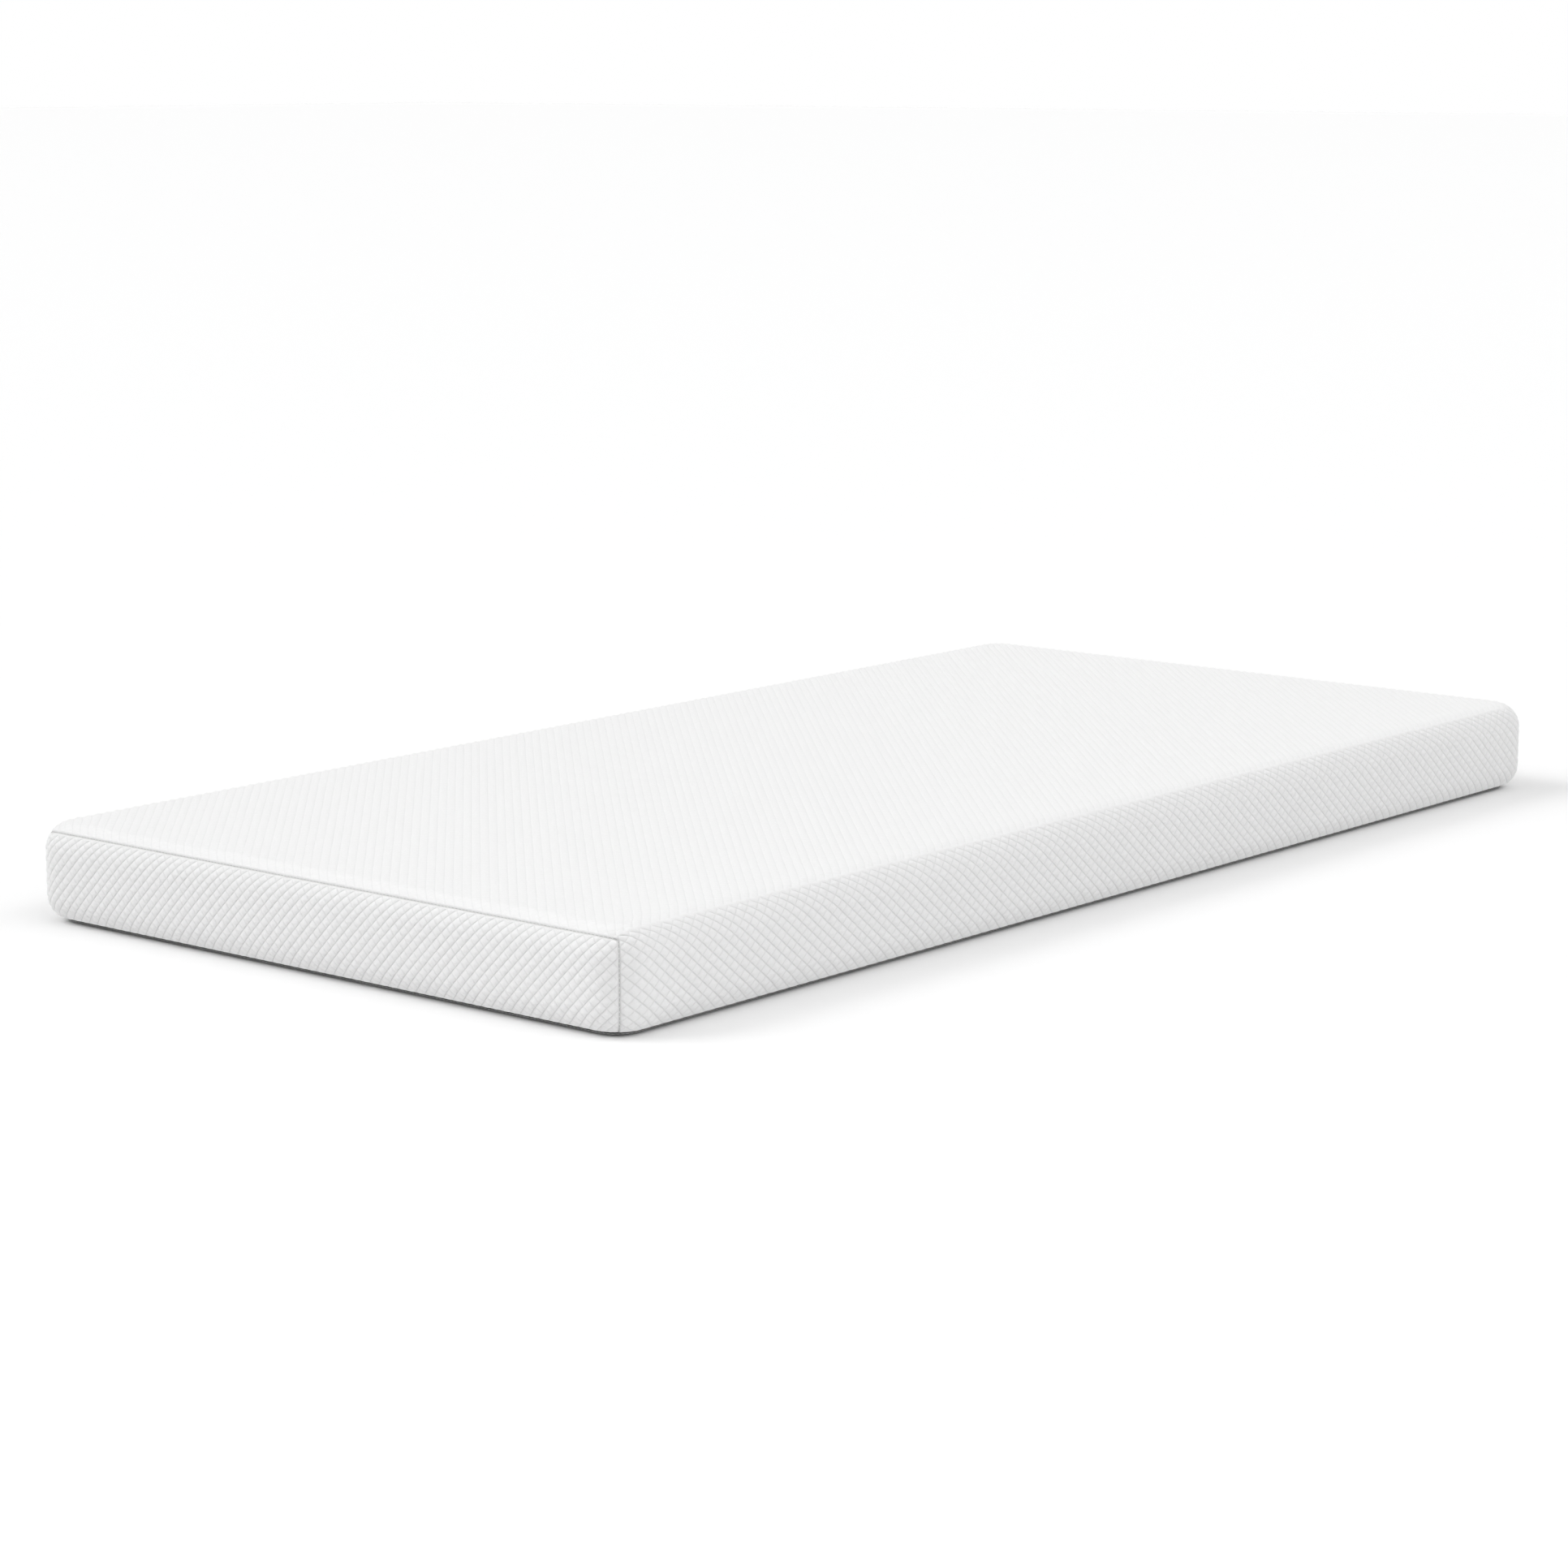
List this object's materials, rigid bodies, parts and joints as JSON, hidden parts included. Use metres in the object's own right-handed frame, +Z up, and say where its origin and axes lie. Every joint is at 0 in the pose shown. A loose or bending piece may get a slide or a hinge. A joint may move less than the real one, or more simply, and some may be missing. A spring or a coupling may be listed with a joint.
{
  "type": "memory foam mattress",
  "caption": "Low rectangular foam mattress with rolled edges, a one-piece knit top over the long sides, seamed end panels and a zip across the hidden head end.",
  "frame": {"origin": "on the floor, under the middle of the mattress", "axes": "+X across the width, +Y along the length towards the head end (the end with the zip), +Z up"},
  "size_m": [1, 2.0283, 0.128],
  "materials": {
    "knit_cover": "matte",
    "base_cloth": "matte",
    "thread": "matte",
    "fire_sock": "matte",
    "memory_foam": "matte",
    "bond_film": "satin",
    "base_foam": "matte",
    "zip_tape": "matte",
    "zip_coil": "satin",
    "zip_metal": "satin",
    "label": "satin"
  },
  "bodies": {
    "mattress": {"cover_top": "knit_cover", "foot_end_panel": "knit_cover", "head_end_panel": "knit_cover", "cover_base": "base_cloth", "foot_seam_thread": "thread", "head_seam_thread": "thread", "base_seam_thread": "thread", "fire_sock": "fire_sock", "memory_foam_layer": "memory_foam", "foam_bond_film": "bond_film", "base_foam_layer": "base_foam", "zip_tape_upper": "zip_tape", "zip_tape_lower": "zip_tape", "zip_coil_upper": "zip_coil", "zip_coil_lower": "zip_coil", "zip_bottom_stop": "zip_metal", "zip_top_stop_upper": "zip_metal", "zip_top_stop_lower": "zip_metal", "zip_stitching_upper": "thread", "zip_stitching_lower": "thread", "care_label": "label", "label_stitching": "thread"},
    "slider": {"zip_slider": "zip_metal"},
    "pull_tab": {"zip_pull_tab": "zip_metal"}
  },
  "joints": [
    {"name": "zip_travel", "type": "slide", "parent": "mattress", "child": "slider", "axis": [1, 0, 0], "range_m": [-0.84, 0]},
    {"name": "pull_tab_flip", "type": "hinge", "parent": "slider", "child": "pull_tab", "pos_m": [0.42, 1.01425, 0.05], "axis": [0, 0, -1], "range_deg": [0, 180]}
  ]
}
